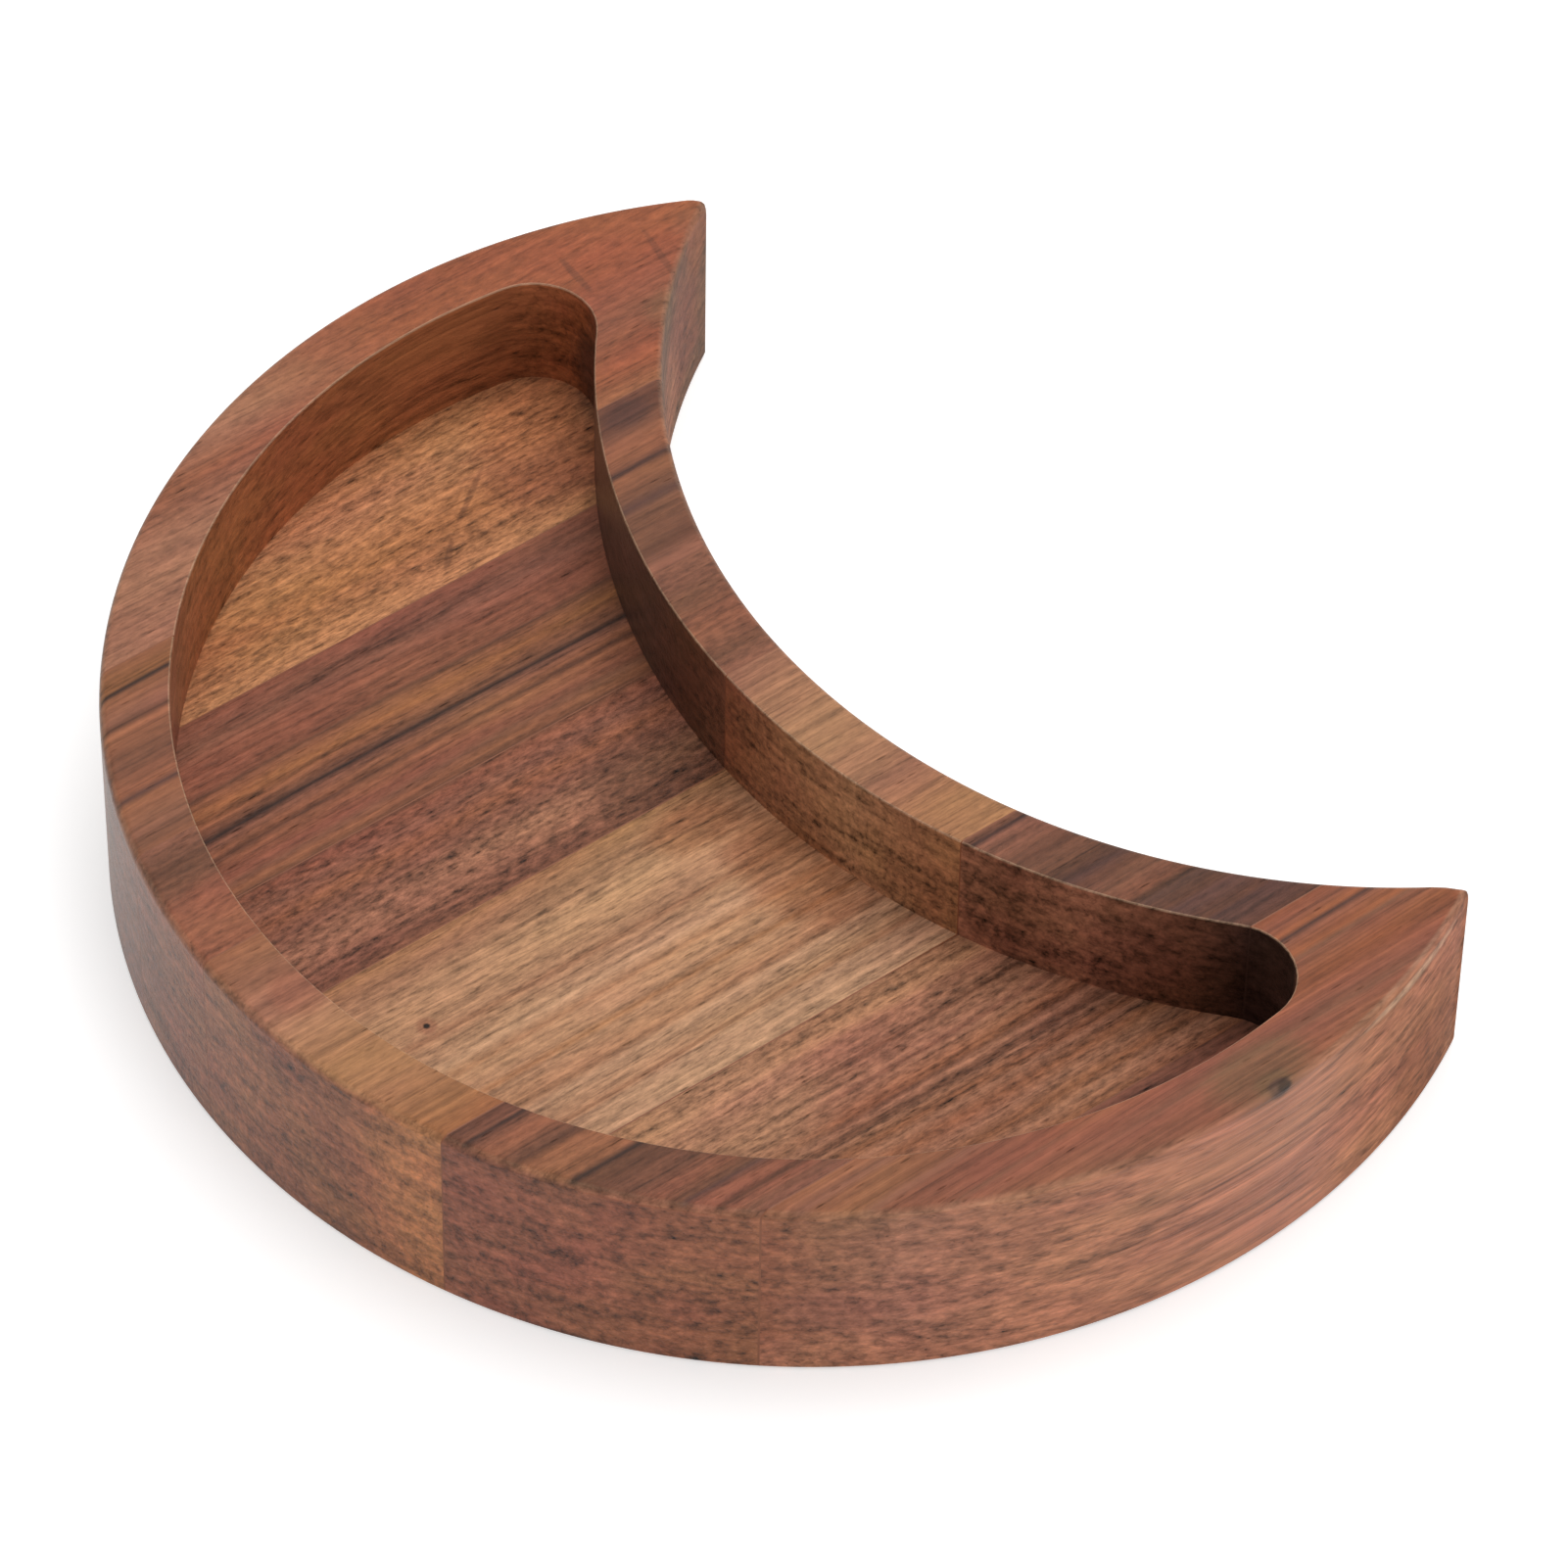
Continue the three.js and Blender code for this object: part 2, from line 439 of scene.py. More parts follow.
# %% [markdown]
# ## Wood tones
# The panel mixes heartwood and paler wood of one species, so all staves share one small palette.
# The tones are written as they look on a screen and turned into the linear values that shaders use.

# %% Palette
def linear(screen):
    """A colour in screen values from 0 to 255, as linear values with alpha."""
    shares = [value / 255 for value in screen]
    return [s / 12.92 if s <= 0.04045 else ((s + 0.055) / 1.055) ** 2.4 for s in shares] + [1.0]


TONES = {name: linear(screen) for name, screen in {
    "honey": (178, 112, 66),
    "honey_light": (192, 128, 84),
    "amber": (198, 120, 72),
    "toffee": (166, 96, 54),
    "salmon": (150, 87, 57),
    "copper": (154, 85, 50),
    "brick": (150, 82, 56),
    "rose": (164, 108, 80),
    "blush": (178, 114, 82),
    "sand": (186, 136, 98),
    "sand_dark": (172, 120, 84),
    "sand_light": (192, 144, 108),
    "gold": (172, 118, 76),
    "orange": (154, 94, 54),
    "rust": (150, 91, 60),
    "russet": (143, 83, 59),
    "mauve": (138, 86, 64),
    "umber": (122, 76, 54),
    "umber_dark": (100, 61, 43),
    "plum": (86, 55, 46),
    "charcoal": (96, 62, 50),
    "bark": (83, 59, 49),
    "olive": (118, 88, 58),
    "driftwood": (122, 86, 63),
    "ink": (60, 40, 33),
    "knot": (34, 22, 16),
    # The worn tone serves both for worn edges and for painted highlight.
    "worn": (206, 168, 136),
}.items()}
print(len(TONES), "tones")

# %% [markdown]
# ## Bands across each stave
# Streaks in wood are sheets of tissue that run along the grain, so across the stave they make bands.
# Each list gives the tones from left to right, in millimetres, as they show on the pocket floor, on
# the rim of the outer arc, on the rim of the bite, and on upright faces, where the cut ends of the
# fibres drink more oil and the streaks drown. The pocket's wall has two lists of its own, one along
# the outer arc and one along the bite. The bark and ink in the bite's list, along the bite and at the
# pocket's ends, are painted shade. In between the figure changes slowly.

# %% Band lists
BANDS = {
    "left_tip_stave": {
        "floor": [(-92, "honey"), (-80, "honey_light"), (-70, "honey"), (-60, "honey_light")],
        "outer": [(-100, "rose"), (-90, "rose"), (-84, "salmon"), (-76, "rose"), (-60, "rose")],
        "bite": [(-100, "copper"), (-84, "copper"), (-74, "russet"), (-66, "copper"), (-60, "rust")],
        "wall": [(-100, "driftwood"), (-60, "driftwood")],
        "pocket_arc": [(-92, "toffee"), (-72, "toffee"), (-60, "russet")],
        # Painted shade: russet, bark and ink darken the pocket's end wall at the tip.
        "pocket_bite": [
            (-92, "toffee"), (-80, "toffee"), (-76, "russet"), (-73, "bark"), (-71, "ink"),
            (-60, "bark"),
        ],
    },
    "left_striped_stave": {
        "floor": [
            (-60, "russet"), (-55, "mauve"), (-52, "russet"), (-48.2, "russet"), (-47.3, "umber_dark"),
            (-46.4, "rust"), (-44.5, "orange"), (-42.6, "rust"), (-41.2, "umber"), (-40.3, "ink"),
            (-39.4, "mauve"), (-37.4, "rust"), (-36.6, "umber_dark"), (-35.6, "rust"), (-33, "russet"),
            (-31.6, "umber"), (-30.4, "rust"), (-28.6, "umber_dark"),
        ],
        "outer": [
            (-60, "rust"), (-56.4, "orange"), (-55.6, "ink"), (-54.8, "rust"), (-51, "mauve"),
            (-50.2, "umber_dark"), (-49.2, "rust"), (-44, "umber"), (-40, "rust"), (-38.8, "plum"),
            (-37.6, "rust"), (-33, "mauve"), (-31, "umber"), (-28.6, "rust"),
        ],
        "bite": [
            (-60, "umber"), (-56.5, "umber_dark"), (-54, "umber"), (-51.5, "rust"), (-49, "rust"),
            (-47.6, "plum"), (-46.4, "rust"), (-42.5, "umber"), (-41, "plum"), (-39.5, "umber"),
            (-36, "umber"), (-33, "umber_dark"), (-31, "mauve"), (-28.6, "mauve"),
        ],
        "wall": [(-60, "driftwood"), (-44, "umber"), (-28.6, "mauve")],
        "pocket_arc": [(-60, "russet"), (-44, "mauve"), (-28.6, "umber")],
        # Painted shade: bark darkens the pocket's wall along the bite.
        "pocket_bite": [(-60, "bark"), (-28.6, "bark")],
    },
    "left_dark_stave": {
        "floor": [
            (-28.4, "umber_dark"), (-27, "russet"), (-24, "mauve"), (-21, "rust"),
            (-18, "mauve"), (-14, "rose"), (-9, "mauve"), (-6.8, "umber"),
        ],
        "outer": [
            (-28.4, "mauve"), (-24.4, "umber_dark"), (-20, "umber"), (-17.5, "russet"), (-6.8, "rust"),
        ],
        "bite": [(-28.4, "mauve"), (-22, "umber"), (-15, "russet"), (-10, "umber"), (-6.8, "mauve")],
        "wall": [(-28.4, "mauve"), (-6.8, "rust")],
        "pocket_arc": [(-28.4, "umber"), (-6.8, "mauve")],
        # Painted shade: bark and dark umber darken the pocket's wall along the bite.
        "pocket_bite": [(-28.4, "bark"), (-16, "umber_dark"), (-6.8, "umber")],
    },
    "middle_pale_stave": {
        "floor": [
            (-6.6, "gold"), (-3, "sand_dark"), (2, "sand"), (9, "sand"), (10, "sand_dark"),
            (11, "sand"), (15, "sand_light"), (17, "sand_dark"), (18, "sand"), (21, "sand"),
            (22, "gold"), (23, "sand"), (27, "sand_dark"), (28.4, "sand_light"), (32, "sand"),
            (33, "sand_dark"), (34, "sand_light"), (38.3, "sand_light"),
        ],
        "outer": [
            (-6.6, "rust"), (4, "rose"), (10, "sand_dark"), (19, "gold"), (27, "gold"),
            (38.3, "orange"),
        ],
        "bite": [
            (-6.6, "rose"), (0, "sand_dark"), (14, "sand_dark"), (22, "rose"), (30, "gold"),
            (38.3, "gold"),
        ],
        "wall": [(-6.6, "rust"), (22, "rust"), (34, "honey"), (38.3, "honey")],
        "pocket_arc": [(-6.6, "rust"), (8, "sand_dark"), (20, "sand"), (38.3, "gold")],
        "pocket_bite": [(-6.6, "rust"), (8, "sand_dark"), (20, "sand"), (38.3, "gold")],
    },
    "right_streaked_stave": {
        "floor": [
            (38.5, "sand_dark"), (42, "sand_dark"), (44, "rose"), (46.8, "rose"), (47.5, "umber"),
            (48.2, "rose"), (51, "rose"), (51.7, "mauve"), (52.4, "rose"), (55.5, "rust"),
            (56.2, "umber"), (57, "rose"), (58.6, "umber"), (59.5, "rose"), (61.5, "rust"),
            (63, "rose"), (65, "rust"), (67.5, "rose"), (70, "rust"), (72, "rose"), (74.9, "rust"),
        ],
        "outer": [
            (38.5, "umber_dark"), (40.4, "umber"), (41, "ink"), (41.8, "umber"), (44, "rust"),
            (47, "umber"), (48, "umber_dark"), (49, "rust"), (53.8, "rust"), (54.8, "ink"),
            (55.8, "umber_dark"), (58.4, "umber_dark"), (60, "umber"), (61.4, "umber"), (64, "russet"),
            (66.6, "umber"), (67.3, "plum"), (68.4, "russet"), (70, "russet"), (70.8, "umber_dark"),
            (71.6, "russet"), (73, "umber"), (74.9, "mauve"),
        ],
        "bite": [
            (38.5, "umber"), (39.4, "plum"), (40.3, "mauve"), (44, "umber"), (46, "umber_dark"),
            (48, "umber"), (51, "umber_dark"), (53, "plum"), (54.5, "umber_dark"), (58, "umber"),
            (60.5, "russet"), (61.6, "umber_dark"), (62.6, "charcoal"), (65, "umber_dark"),
            (66, "plum"), (67.2, "charcoal"), (69.4, "umber_dark"), (70.4, "plum"), (72, "charcoal"),
            (74.9, "umber_dark"),
        ],
        "wall": [(38.5, "russet"), (50, "russet"), (74.9, "rust")],
        "pocket_arc": [(38.5, "rust"), (56, "mauve"), (74.9, "russet")],
        # Painted shade: umber and ink darken the wall towards the pocket's right end.
        "pocket_bite": [
            (38.5, "rose"), (46, "mauve"), (54, "rose"), (62, "mauve"), (68, "umber"), (74.9, "ink"),
        ],
    },
    "right_tip_stave": {
        "floor": [(75.1, "mauve"), (82, "russet"), (100, "russet")],
        "outer": [
            (75.1, "rust"), (77.4, "mauve"), (78.6, "rust"), (81.6, "rust"), (82.6, "mauve"),
            (83.8, "russet"), (87.6, "russet"), (88.4, "umber"), (89.2, "russet"), (93, "russet"),
            (95.2, "umber"), (96.4, "mauve"), (100, "mauve"),
        ],
        "bite": [
            (75.1, "copper"), (77.6, "russet"), (78.8, "copper"), (79.5, "plum"), (80.4, "russet"),
            (82.4, "copper"), (83, "umber"), (83.8, "russet"), (87, "copper"), (91, "russet"),
            (93, "umber"), (94, "russet"), (100, "rust"),
        ],
        "wall": [(75.1, "rust"), (86, "rose"), (94, "blush"), (100, "blush")],
        "pocket_arc": [(75.1, "russet"), (90, "umber")],
        # Painted shade: ink and umber darken the pocket's right end.
        "pocket_bite": [(75.1, "ink"), (84, "ink"), (88, "umber"), (90, "umber")],
    },
}
print({node: sum(len(stops) for stops in lists.values()) for node, lists in BANDS.items()}, "stops")

# %% [markdown]
# ## Marks of the single planks
# A knot, a dark dot the size of a pin head and flushes of redder wood make each stave its own. Some
# marks are painted light and shade: lighter patches where light falls or glances, darker ones in the
# pocket's corners and on the right tip's wall, and a pale line of painted highlight on the right tip's
# edge. Each mark is a soft ellipsoid in the plank: its centre and its radii in millimetres, its turn in
# degrees, its tone and its strength.

# %% Marks
MARKS = {
    "left_tip_stave": [
        ((-73, 34, 13), (13, 15, 7), 0, "brick", 0.45),
        # Painted light: a lighter, warmer patch on the floor where the pocket's end wall shades it.
        ((-81, 36, 13), (9, 13, 6), 0, "amber", 0.7),
        ((-97, 25, 32), (4, 9, 5), 0, "brick", 0.35),
        ((-95, 11, 32), (4, 7, 5), 0, "brick", 0.3),
        # Painted sheen: grey-olive at the tip's bite edge, where the wall catches a glancing
        # reflection.
        ((-71, 57, 32), (5, 7, 8), 0, "olive", 0.45),
        ((-85, 48.6, 32), (5.2, 0.8, 5), -4, "umber_dark", 0.5),
        ((-80.5, 61.2, 32), (9, 0.7, 5), -12, "umber_dark", 0.4),
        ((-79, 63, 15), (13, 17, 16), 0, "mauve", 0.8),
        ((-84, 70.5, 28), (5, 7, 9), 0, "rust", 0.8),
        # Painted sheen: a paler patch low on the bite's wall near the tip, for its grazing reflection.
        ((-73, 57, 9), (9, 10, 14), 0, "rose", 0.9),
        # Painted shade: darker wall and floor in the corner of the pocket's end at the tip.
        ((-76, 46, 20), (8, 6, 11), 0, "bark", 0.75),
        ((-72.9, 19.9, 13), (8.6, 0.7, 2), -53.6, "umber_dark", 0.5),
        ((-65, 10.3, 13), (4.8, 0.7, 2), -44.5, "umber_dark", 0.5),
    ],
    "left_striped_stave": [((-57, 37, 32), (3.4, 5, 5), 0, "plum", 0.6)],
    "left_dark_stave": [
        ((-16, -65, 32), (6, 6, 4), 0, "brick", 0.3),
        ((-12, 8, 13), (10, 15, 5), 0, "umber_dark", 0.65),
    ],
    "middle_pale_stave": [
        ((-0.5, 5.5, 13), (6, 10, 5), 0, "orange", 0.6),
        ((14, 12, 13), (16, 10, 5), 0, "toffee", 0.5),
        ((5, -66.8, 32), (6, 5, 4), 0, "brick", 0.35),
        ((7.1, -46.6, 13), (2.0, 2.0, 3), 0, "brick", 0.45),
        ((7.1, -46.6, 13), (0.7, 0.7, 2), 0, "knot", 1.0),
    ],
    "right_streaked_stave": [((47, -25, 13), (15, 20, 5), 0, "sand", 0.5)],
    "right_tip_stave": [
        ((79, -32, 12), (9, 10, 6), 0, "mauve", 0.6),
        # Painted light: a paler foot of the outer wall, for light bounced up from the floor.
        ((81, -28, 0), (22, 26, 9), 0, "blush", 0.9),
        # Painted shade: a darker outer wall at the right tip, where the fill lamp falls.
        ((91, 63, 9), (8, 16, 20), 0, "rust", 0.9),
        # Painted highlight: a pale line along the right tip's upper edge.
        ((94, 57, 30.2), (8, 19, 1.3), 0, "worn", 0.6),
        ((96, 29, 32), (6, 11, 6), 0, "olive", 0.6),
        ((98.4, 29.2, 32), (2.0, 3.8, 3), 0, "olive", 0.8),
        ((99.4, 29.6, 32), (1.3, 2.2, 2.4), 0, "bark", 0.8),
        ((99.8, 30.4, 32.4), (0.9, 1.6, 1.5), 0, "knot", 1.0),
    ],
}
print(sum(len(marks) for marks in MARKS.values()), "marks")

# %% [markdown]
# ## The tone at a point
# An image would lie on the surface like a sticker. Here the figure fills space instead: the bands are
# looked up by the place across the grain, and the marks by their distance. The rim, the pocket's walls
# and the end grain then agree, as they do in a real plank. The lists pass into each other along the
# grain and with the height.

# %% Tone of the wood at a point
RIM_MM = RIM_Z / MM
FLOOR_MM = FLOOR_Z / MM
FLOOR_TO_RIM = (FLOOR_MM + 1, RIM_MM - 2)
ARC_TO_BITE_ON_RIM = (-15, 25)
ARC_TO_BITE_IN_POCKET = (-5, 12)
MARK_FADE = (0.45, 1.0)
MARK_WOBBLE = 0.9


def millimetres(tree, coords):
    """The point's place in millimetres."""
    scaled = {"Vector": coords.outputs["Object"], "Scale": (1 / MM,) * 3}
    return add_node(tree, "ShaderNodeMapping", scaled).outputs[0]


def band_colour(tree, across, stops):
    """The tone of a band list at a place across the grain."""
    first, last = stops[0][0], stops[-1][0]
    share = calc(tree, "DIVIDE", calc(tree, "SUBTRACT", across, first), last - first)
    made = add_node(tree, "ShaderNodeValToRGB", {0: share})
    elements = made.color_ramp.elements
    while len(elements) < len(stops):
        elements.new(1.0)
    for element, (x, tone) in zip(elements, stops):
        element.position = (x - first) / (last - first)
        element.color = TONES[tone]
    return made.outputs[0]


def stave_tone(tree, node, place, face):
    """The bands of a stave, chosen by height, by side, and by how level the face is."""
    across, along, up = add_node(tree, "ShaderNodeSeparateXYZ", {0: place}).outputs
    tones = {name: band_colour(tree, across, stops) for name, stops in BANDS[node].items()}
    on_rim = ease_step(tree, along, *ARC_TO_BITE_ON_RIM)
    rim = blend(tree, on_rim, tones["outer"], tones["bite"])
    level = blend(tree, ease_step(tree, up, *FLOOR_TO_RIM), tones["floor"], rim)
    in_pocket = ease_step(tree, along, *ARC_TO_BITE_IN_POCKET)
    inner_wall = blend(tree, in_pocket, tones["pocket_arc"], tones["pocket_bite"])
    wall = blend(tree, face["pocket"], tones["wall"], inner_wall)
    return blend(tree, face["flat"], wall, level)


def marked(tree, node, place, wobble, colour):
    """Adds the marks of a stave to its tone."""
    for centre, radii, turn, tone, strength in MARKS[node]:
        turned = (0, 0, math.radians(turn))
        inside = {"Vector": place, "Location": centre, "Rotation": turned, "Scale": radii}
        local = add_node(tree, "ShaderNodeMapping", inside, vector_type="TEXTURE").outputs[0]
        reach = add_node(tree, "ShaderNodeVectorMath", {0: local}, operation="LENGTH").outputs["Value"]
        reach = add_noise(tree, wobble, MARK_WOBBLE, reach)
        amount = ease_step(tree, reach, *MARK_FADE, strength, 0.0)
        colour = blend(tree, amount, colour, TONES[tone])
    return colour


print("tones pass from floor to rim between", [round(height, 1) for height in FLOOR_TO_RIM], "mm")

# %% [markdown]
# ## Kinds of face
# The same wood looks different on a level face, on an upright one, on cut ends and on an eased edge.
# These could be painted on by hand, but then they would have to be painted again after every change
# of shape. The direction of the face, and how far it lies from the two centres of the crescent, tell
# them apart as well.

# %% Shares of each kind of face
FLAT_LEVEL = (0.3, 0.85)
EASED_EDGE = ((0.1, 0.35), (0.8, 0.98))
EDGE_LINE = ((0.5, 0.7), (0.8, 0.97))
ARC_WALL_MM = (93, 96)
BITE_WALL_MM = (106, 109)
BITE_FACE_MM = (103, 105)
RIGHT_TIP_X_MM = (80, 88)
RIGHT_TIP_Y_MM = (30, 55)


def between(tree, value, rise, fall):
    """Rises to one over a first span and falls to nought again over a second."""
    return times(tree, ease_step(tree, value, *rise), ease_step(tree, value, *fall, 1.0, 0.0))


def plan_distance(tree, x, y, centre_y):
    """How far a point lies from a centre on the Y axis, seen from above."""
    plan = add_node(tree, "ShaderNodeCombineXYZ", {0: x, 1: y}).outputs[0]
    ends = {0: plan, 1: (0, centre_y / MM, 0)}
    return add_node(tree, "ShaderNodeVectorMath", ends, operation="DISTANCE").outputs["Value"]


def inside_pocket(tree, x, y):
    """One within the pocket's walls, nought outside the tray."""
    within_disc = ease_step(tree, plan_distance(tree, x, y, CENTRE_Y), *ARC_WALL_MM, 1.0, 0.0)
    past_bite = ease_step(tree, plan_distance(tree, x, y, CENTRE_Y + BITE_Y), *BITE_WALL_MM)
    return times(tree, within_disc, past_bite)


def bite_side(tree, x, y):
    """One on the wall of the bite, nought further in."""
    return ease_step(tree, plan_distance(tree, x, y, CENTRE_Y + BITE_Y), *BITE_FACE_MM, 1.0, 0.0)


def kinds_of_face(tree, normal, x, y):
    """How much of each kind of face there is at a point, from nought to one."""
    facing = add_node(tree, "ShaderNodeSeparateXYZ", {0: normal}).outputs
    level = calc(tree, "ABSOLUTE", facing[2])
    flat = ease_step(tree, level, *FLAT_LEVEL)
    upright = calc(tree, "SUBTRACT", 1.0, flat)
    pocket = inside_pocket(tree, x, y)
    return {
        "flat": flat,
        "upright": upright,
        "end_grain": times(tree, calc(tree, "ABSOLUTE", facing[1]), upright),
        "pocket": pocket,
        "pocket_wall": times(tree, pocket, upright),
        "bite_wall": times(tree, bite_side(tree, x, y), upright),
        "eased_edge": between(tree, level, *EASED_EDGE),
        "edge_line": between(tree, level, *EDGE_LINE),
        "right_tip": times(
            tree, ease_step(tree, x, *RIGHT_TIP_X_MM), ease_step(tree, y, *RIGHT_TIP_Y_MM),
        ),
    }


print("pocket wall fades between", ARC_WALL_MM, "mm from the disc's centre")

# %% [markdown]
# ## Grain
# Up close, oiled wood is a bundle of fibres with dark pores between them. Broad ribbons, streaks,
# strokes and flecks are the same noise stretched by different amounts along the grain, and growth
# lines are the places where a slow noise passes its middle. On the end grain the stretch is seen from
# its end, so the same nodes give a speckle there.

# %% Grain noises
DRIFTS = ((40, 170, 0, 5.0), (5, 60, 3, 1.4))  # mm across and along, shift, mm of sway
GRAIN = {  # mm across, along and up, detail, roughness, shift
    "ribbon": (6, 70, 6, 2.0, 0.5, 5),
    "streak": (1.4, 120, 1.4, 3.0, 0.6, 7),
    "fleck": (0.8, 2.2, 0.8, 3.0, 0.7, 11),
    "blotch": (11, 36, 11, 3.0, 0.5, 13),
    "season": (1.9, 240, 1.9, 2.0, 0.5, 15),
    "end_ring": (16, 60, 1.8, 3.0, 0.6, 17),
}
STROKE_WIDTH = 0.7
STROKE_DETAIL = {"detail": 4.0, "rough": 0.7}
STROKE_SHIFT = 9
STROKE_LENGTH = {
    "left_tip_stave": 3.5,
    "left_striped_stave": 7,
    "left_dark_stave": 3,
    "middle_pale_stave": 5,
    "right_streaked_stave": 7,
    "right_tip_stave": 14,
}
GROWTH_LINE_WIDTH = 0.05
PORE_WIDTH = 0.9
PORE_LENGTH = 6.0
PORE_EDGE = (0.08, 0.2)


def drifted(tree, straight, x, seed):
    """The place across the grain, swayed slowly along it."""
    for across, along, shift, sway in DRIFTS:
        x = add_noise(tree, noise(tree, straight, across, along, shift=seed + shift), sway, x)
    return x


def pore_dashes(tree, place):
    """Short dark dashes along the grain, of different depths."""
    cells = {"Vector": place, "Scale": (1 / PORE_WIDTH, 1 / PORE_LENGTH, 1 / PORE_WIDTH)}
    cells = add_node(tree, "ShaderNodeMapping", cells).outputs[0]
    pores = add_node(tree, "ShaderNodeTexVoronoi", {"Vector": cells, "Scale": 1.0})
    depth = add_node(tree, "ShaderNodeSeparateColor", {0: pores.outputs["Color"]}).outputs[0]
    dash = ease_step(tree, pores.outputs["Distance"], *PORE_EDGE, 1.0, 0.0)
    return times(tree, dash, depth)


def grain_noises(tree, node, place, seed):
    """All the noises of a stave, by name."""
    grain = {}
    for name, (across, along, up, detail, rough, shift) in GRAIN.items():
        grain[name] = noise(tree, place, across, along, detail, rough, seed + shift, up)
    grain["stroke"] = noise(
        tree, place, STROKE_WIDTH, STROKE_LENGTH[node], shift=seed + STROKE_SHIFT, **STROKE_DETAIL,
    )
    off_middle = calc(tree, "ABSOLUTE", calc(tree, "SUBTRACT", grain["season"], 0.5))
    grain["growth_line"] = ease_step(tree, off_middle, 0.0, GROWTH_LINE_WIDTH, 1.0, 0.0)
    grain["pore"] = pore_dashes(tree, place)
    return grain


print(len(GRAIN) + 1, "noises, and pores", PORE_LENGTH, "mm long")

# %% [markdown]
# ## Light and dark in the grain
# A layer of grey over the tone would dull the wood. Instead the noises only raise and lower its
# brightness, each by its own amount. The floor is the liveliest face and the rim is calmer. The walls
# of the pocket are a little darker, as painted shade.

# %% Brightness and relief
FLECK_STRENGTH = {
    "left_tip_stave": 2.0,
    "left_striped_stave": 1.0,
    "left_dark_stave": 2.6,
    "middle_pale_stave": 1.2,
    "right_streaked_stave": 2.2,
    "right_tip_stave": 1.2,
}
STREAK_STRENGTH = {
    "left_tip_stave": 0.9,
    "left_striped_stave": 1.0,
    "left_dark_stave": 0.9,
    "middle_pale_stave": 1.2,
    "right_streaked_stave": 1.5,
    "right_tip_stave": 1.4,
}
RIBBON_STRENGTH = 0.45
END_RING_STRENGTH = 1.9
STROKE_STRENGTH = 0.5
MORE_STROKE_WHERE_LIVELY = 1.3
LESS_STROKE_ON_UPRIGHT = -0.6
MORE_STREAK_ON_UPRIGHT = 0.6
LIVELY_ON_RIM = 0.5
CURL_ON_UPRIGHT = 0.4
DARKENING = {"growth_line": -0.2, "pore": -0.4, "pocket_wall": -0.1}
STREAK_RELIEF = 0.4
PORE_RELIEF = -0.5
RELIEF_ON_UPRIGHT = 0.6
BUMP = {"Strength": 0.6, "Distance": 0.35 * MM}


def fleck_strength(tree, node, face, lively):
    """How strongly the flecks show: most on the floor, less on the rim and on upright faces."""
    strength = times(tree, lively, FLECK_STRENGTH[node])
    return times(tree, strength, add_share(tree, face["flat"], 1 - CURL_ON_UPRIGHT, CURL_ON_UPRIGHT))


def brightness(tree, node, face, grain, lively, curl):
    """How much lighter or darker than its tone the wood is, around one."""
    layered = add_share(tree, face["upright"], MORE_STREAK_ON_UPRIGHT, 1.0)
    fibre = add_share(tree, lively, MORE_STROKE_WHERE_LIVELY, STROKE_STRENGTH)
    fibre = add_share(tree, face["upright"], LESS_STROKE_ON_UPRIGHT, fibre)
    light = add_noise(tree, grain["ribbon"], RIBBON_STRENGTH, 1.0)
    light = add_noise(tree, grain["streak"], times(tree, layered, STREAK_STRENGTH[node]), light)
    light = add_noise(tree, grain["stroke"], fibre, light)
    light = add_noise(tree, grain["fleck"], curl, light)
    light = add_share(tree, grain["growth_line"], DARKENING["growth_line"], light)
    light = add_noise(tree, grain["end_ring"], times(tree, face["end_grain"], END_RING_STRENGTH), light)
    light = add_share(tree, grain["pore"], DARKENING["pore"], light)
    # Painted shade: the upright walls of the pocket are a little darker.
    return add_share(tree, face["pocket_wall"], DARKENING["pocket_wall"], light)


def fibre_relief(tree, face, grain, curl):
    """The raised fibres and sunk pores, flatter on upright faces."""
    height = add_share(tree, grain["streak"], STREAK_RELIEF, grain["stroke"])
    height = add_noise(tree, grain["fleck"], curl, height)
    height = add_share(tree, grain["pore"], PORE_RELIEF, height)
    share = add_share(tree, face["flat"], 1 - RELIEF_ON_UPRIGHT, RELIEF_ON_UPRIGHT)
    height = times(tree, height, share)
    return add_node(tree, "ShaderNodeBump", {"Height": height, **BUMP}).outputs[0]


print("bump of", round(BUMP["Distance"] / MM, 2), "mm")

# %% [markdown]
# ## The oiled finish
# Oil deepens the tone and leaves a low sheen that differs from face to face: the router burnishes the
# upright faces, and the bite and the right tip stay duller. The eased edges are paler, partly from wear
# and partly as painted highlight, most of all along the pocket's mouth; the thin pale line on the
# right tip's edge is painted highlight only. With one material for all staves the figure would run on
# across the seams, so each stave has its own, with a seed of its own.

# %% Wood material
# Pale edges: wear and painted highlight on eased edges and the pocket's mouth, painted highlight on the
# right tip's edge.
MOUTH_WEAR_AND_HIGHLIGHT = 0.4
EDGE_WEAR_AND_HIGHLIGHT = 0.1
TIP_EDGE_HIGHLIGHT = 0.15
HUE_SWAY = 0.03
WOOD_SATURATION = 0.96
WOOD_SPECULAR = 0.18
SHINIEST = 0.2
SEED_STEP = 11.3


